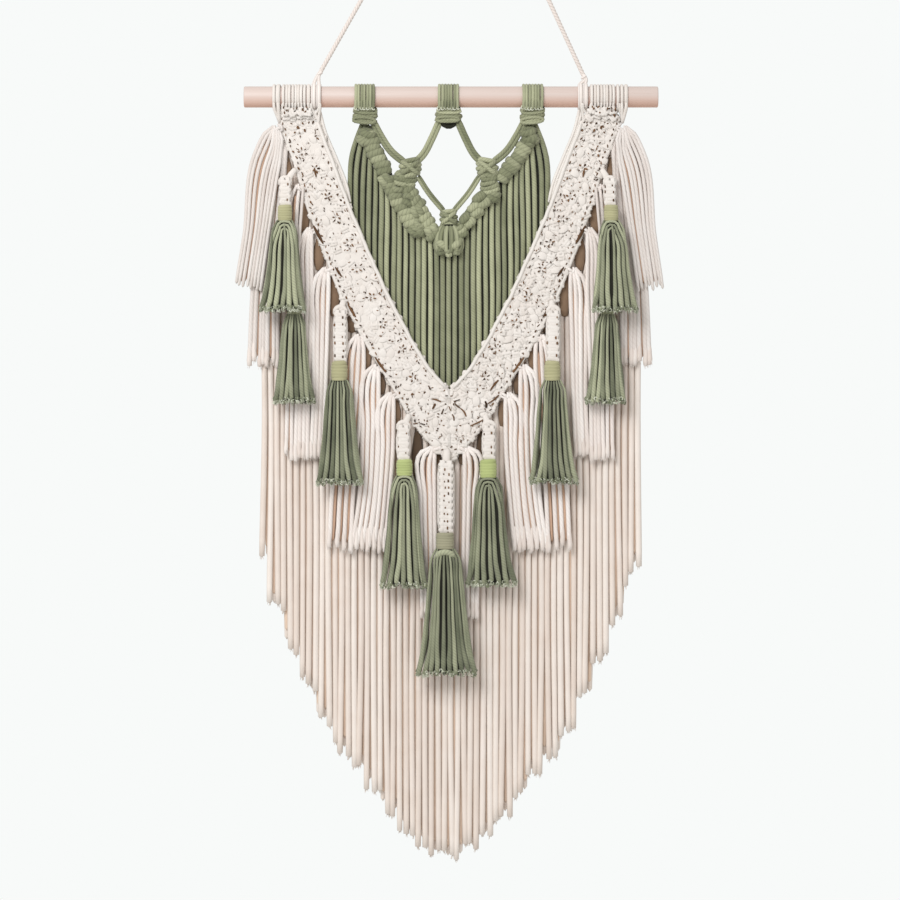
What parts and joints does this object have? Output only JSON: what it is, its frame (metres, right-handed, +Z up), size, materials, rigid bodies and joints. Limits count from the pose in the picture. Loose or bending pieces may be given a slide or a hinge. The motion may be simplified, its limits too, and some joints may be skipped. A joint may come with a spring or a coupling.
{
  "type": "macrame wall hanging on a rod",
  "caption": "V-shaped knotted wall hanging on a round wooden rod, with an inner net, tassels and long pointed fringe, hung by one cord from a nail.",
  "frame": {"origin": "the nail on the wall, at the centre of the hanging cord's loop", "axes": "+Z up, +X to the viewer's right along the rod, -Y towards the room, +Y towards the wall"},
  "size_m": [0.4306, 0.0471, 1.0665],
  "materials": {
    "rod_wood": "pale pink stain, satin",
    "off_white_cord": "twisted cotton cord",
    "cream_cotton": "knotted cotton cord",
    "off_white_cotton": "smooth cotton cord, brushed ends",
    "sage_cotton": "twisted cotton cord"
  },
  "bodies": {
    "root": {"rod": "rod_wood", "hang_loop": "off_white_cord", "hang_cord_left": "off_white_cord", "hang_cord_right": "off_white_cord", "hang_hitch_left": "off_white_cord", "hang_hitch_right": "off_white_cord", "cream_band": "cream_cotton", "green_panel": "sage_cotton", "back_fringe": "off_white_cotton", "bundle_a_left": "off_white_cotton", "bundle_a_right": "off_white_cotton", "bundle_tier_left": "off_white_cotton", "bundle_tier_right": "off_white_cotton", "bundle_b_left": "off_white_cotton", "bundle_b_right": "off_white_cotton", "bundle_c_left": "off_white_cotton", "bundle_c_right": "off_white_cotton", "bundle_d_left": "off_white_cotton", "bundle_d_right": "off_white_cotton", "bundle_e_left": "off_white_cotton", "bundle_e_right": "off_white_cotton", "bundle_f_left": "off_white_cotton", "bundle_f_right": "off_white_cotton", "bundle_g_left": "off_white_cotton", "bundle_g_right": "off_white_cotton", "bundle_h_left": "off_white_cotton", "bundle_h_right": "off_white_cotton", "sinnet_1l": "cream_cotton", "sinnet_3l": "cream_cotton", "sinnet_4l": "cream_cotton", "sinnet_5": "cream_cotton", "sinnet_4r": "cream_cotton", "sinnet_3r": "cream_cotton", "sinnet_1r": "cream_cotton", "tassel_1l": "sage_cotton", "tassel_2l": "sage_cotton", "tassel_3l": "sage_cotton", "tassel_4l": "sage_cotton", "tassel_5": "sage_cotton", "tassel_4r": "sage_cotton", "tassel_3r": "sage_cotton", "tassel_2r": "sage_cotton", "tassel_1r": "sage_cotton"}
  },
  "joints": []
}
